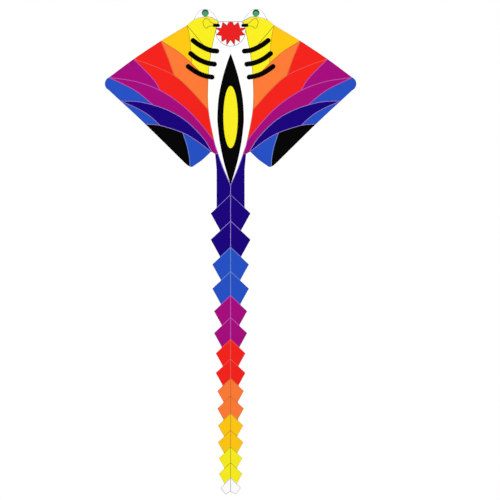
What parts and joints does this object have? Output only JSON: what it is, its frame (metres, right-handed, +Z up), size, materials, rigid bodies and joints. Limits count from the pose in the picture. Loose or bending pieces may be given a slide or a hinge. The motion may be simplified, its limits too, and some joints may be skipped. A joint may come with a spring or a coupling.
{
  "type": "delta kite",
  "caption": "Manta-shaped single-line delta kite: sewn rainbow sail on a folding rod frame, towing keel with eyelet, long linked tail.",
  "frame": {"origin": "middle of the brass eyelet at the tip of the towing keel, where the flying line is tied", "axes": "+Z up along the spine towards the nose, -Y the way the decorated face looks, +X to the right of someone looking at that face"},
  "size_m": [1.8716, 0.4409, 3.6386],
  "materials": {
    "yellow_cloth": "ripstop nylon, yellow, satin calendered face",
    "amber_cloth": "ripstop nylon, amber, satin calendered face",
    "orange_cloth": "ripstop nylon, orange, satin calendered face",
    "red_cloth": "ripstop nylon, red, satin calendered face",
    "magenta_cloth": "ripstop nylon, magenta, satin calendered face",
    "blue_cloth": "ripstop nylon, blue, satin calendered face",
    "navy_cloth": "ripstop nylon, navy, satin calendered face",
    "black_cloth": "ripstop nylon, black, satin calendered face",
    "white_cloth": "ripstop nylon, plain white, satin calendered face",
    "thread": "grey polyester sewing thread",
    "eye_green_cloth": "ripstop nylon, green, satin calendered face",
    "eye_dark_cloth": "ripstop nylon, dark green, satin calendered face",
    "patch_cloth": "black woven polyester reinforcing tape, matte",
    "fibreglass": "black pultruded fibreglass rod, satin",
    "moulded": "black moulded nylon, matte",
    "brass": "polished brass"
  },
  "bodies": {
    "spine": {"spine_upper_rod": "fibreglass", "spine_lower_rod": "fibreglass", "spine_ferrule": "brass", "nose_cap": "moulded", "tail_cap": "moulded", "centre_fitting": "moulded", "tail_root": "navy_cloth"},
    "left_wing": {"left_eye_dome": "white_cloth", "left_head_panel": "yellow_cloth", "left_amber_panel": "amber_cloth", "left_orange_panel": "orange_cloth", "left_red_outer_panel": "red_cloth", "left_red_band": "red_cloth", "left_magenta_outer_panel": "magenta_cloth", "left_magenta_band": "magenta_cloth", "left_blue_tip_panel": "blue_cloth", "left_navy_band": "navy_cloth", "left_blue_middle_panel": "blue_cloth", "left_black_panel": "black_cloth", "left_blue_corner_panel": "blue_cloth", "left_body_panel": "white_cloth", "left_spar": "fibreglass", "left_spar_tip_cap": "moulded"},
    "left_spreader": {"left_spreader": "fibreglass", "left_spreader_clip": "moulded"},
    "right_wing": {"right_eye_dome": "white_cloth", "right_head_panel": "yellow_cloth", "right_amber_panel": "amber_cloth", "right_orange_panel": "orange_cloth", "right_red_outer_panel": "red_cloth", "right_red_band": "red_cloth", "right_magenta_outer_panel": "magenta_cloth", "right_magenta_band": "magenta_cloth", "right_blue_tip_panel": "blue_cloth", "right_navy_band": "navy_cloth", "right_blue_middle_panel": "blue_cloth", "right_black_panel": "black_cloth", "right_blue_corner_panel": "blue_cloth", "right_body_panel": "white_cloth", "right_spar": "fibreglass", "right_spar_tip_cap": "moulded"},
    "right_spreader": {"right_spreader": "fibreglass", "right_spreader_clip": "moulded"},
    "keel": {"keel": "navy_cloth", "tow_eyelet": "brass"},
    "tail_01": {"tail_panel_01": "navy_cloth"},
    "tail_02": {"tail_panel_02": "navy_cloth"},
    "tail_03": {"tail_panel_03": "blue_cloth"},
    "tail_04": {"tail_panel_04": "blue_cloth"},
    "tail_05": {"tail_panel_05": "magenta_cloth"},
    "tail_06": {"tail_panel_06": "magenta_cloth"},
    "tail_07": {"tail_panel_07": "red_cloth"},
    "tail_08": {"tail_panel_08": "red_cloth"},
    "tail_09": {"tail_panel_09": "orange_cloth"},
    "tail_10": {"tail_panel_10": "orange_cloth"},
    "tail_11": {"tail_panel_11": "amber_cloth"},
    "tail_12": {"tail_panel_12": "amber_cloth"},
    "tail_13": {"tail_panel_13": "yellow_cloth"},
    "tail_14": {"tail_panel_14": "yellow_cloth"},
    "tail_15": {"tail_panel_15": "white_cloth"}
  },
  "joints": [
    {"name": "left_wing_fold", "type": "hinge", "parent": "spine", "child": "left_wing", "pos_m": [0, -0.3, 0], "axis": [0, 0, 1], "range_deg": [0, 75]},
    {"name": "right_wing_fold", "type": "hinge", "parent": "spine", "child": "right_wing", "pos_m": [0, -0.3, 0], "axis": [0, 0, -1], "range_deg": [0, 75]},
    {"name": "left_spreader_swing", "type": "hinge", "parent": "spine", "child": "left_spreader", "pos_m": [-0.02, -0.2816, 0.1468], "axis": [0.1336, -0.991, 0], "range_deg": [0, 75]},
    {"name": "right_spreader_swing", "type": "hinge", "parent": "spine", "child": "right_spreader", "pos_m": [0.02, -0.2816, 0.1468], "axis": [0.1336, 0.991, 0], "range_deg": [0, 75]},
    {"name": "keel_lean", "type": "hinge", "parent": "spine", "child": "keel", "pos_m": [0, -0.2935, 0], "axis": [0, 0, 1], "range_deg": [-20, 20]},
    {"name": "tail_01_bend", "type": "hinge", "parent": "spine", "child": "tail_01", "pos_m": [0, -0.2996, -0.8387], "axis": [1, 0, 0], "range_deg": [-20, 20]},
    {"name": "tail_02_bend", "type": "hinge", "parent": "tail_01", "child": "tail_02", "pos_m": [0, -0.2996, -1.01011], "axis": [1, 0, 0], "range_deg": [-20, 20]},
    {"name": "tail_03_bend", "type": "hinge", "parent": "tail_02", "child": "tail_03", "pos_m": [0, -0.2996, -1.20738], "axis": [1, 0, 0], "range_deg": [-20, 20]},
    {"name": "tail_04_bend", "type": "hinge", "parent": "tail_03", "child": "tail_04", "pos_m": [0, -0.2996, -1.38291], "axis": [1, 0, 0], "range_deg": [-20, 20]},
    {"name": "tail_05_bend", "type": "hinge", "parent": "tail_04", "child": "tail_05", "pos_m": [0, -0.2996, -1.56429], "axis": [1, 0, 0], "range_deg": [-20, 20]},
    {"name": "tail_06_bend", "type": "hinge", "parent": "tail_05", "child": "tail_06", "pos_m": [0, -0.2996, -1.72212], "axis": [1, 0, 0], "range_deg": [-20, 20]},
    {"name": "tail_07_bend", "type": "hinge", "parent": "tail_06", "child": "tail_07", "pos_m": [0, -0.2996, -1.88629], "axis": [1, 0, 0], "range_deg": [-20, 20]},
    {"name": "tail_08_bend", "type": "hinge", "parent": "tail_07", "child": "tail_08", "pos_m": [0, -0.2996, -2.0269], "axis": [1, 0, 0], "range_deg": [-20, 20]},
    {"name": "tail_09_bend", "type": "hinge", "parent": "tail_08", "child": "tail_09", "pos_m": [0, -0.2996, -2.17386], "axis": [1, 0, 0], "range_deg": [-20, 20]},
    {"name": "tail_10_bend", "type": "hinge", "parent": "tail_09", "child": "tail_10", "pos_m": [0, -0.2996, -2.29908], "axis": [1, 0, 0], "range_deg": [-20, 20]},
    {"name": "tail_11_bend", "type": "hinge", "parent": "tail_10", "child": "tail_11", "pos_m": [0, -0.2996, -2.43015], "axis": [1, 0, 0], "range_deg": [-20, 20]},
    {"name": "tail_12_bend", "type": "hinge", "parent": "tail_11", "child": "tail_12", "pos_m": [0, -0.2996, -2.55398], "axis": [1, 0, 0], "range_deg": [-20, 20]},
    {"name": "tail_13_bend", "type": "hinge", "parent": "tail_12", "child": "tail_13", "pos_m": [0, -0.2996, -2.67976], "axis": [1, 0, 0], "range_deg": [-20, 20]},
    {"name": "tail_14_bend", "type": "hinge", "parent": "tail_13", "child": "tail_14", "pos_m": [0, -0.2996, -2.79285], "axis": [1, 0, 0], "range_deg": [-20, 20]},
    {"name": "tail_15_bend", "type": "hinge", "parent": "tail_14", "child": "tail_15", "pos_m": [0, -0.2996, -2.90936], "axis": [1, 0, 0], "range_deg": [-20, 20]}
  ]
}
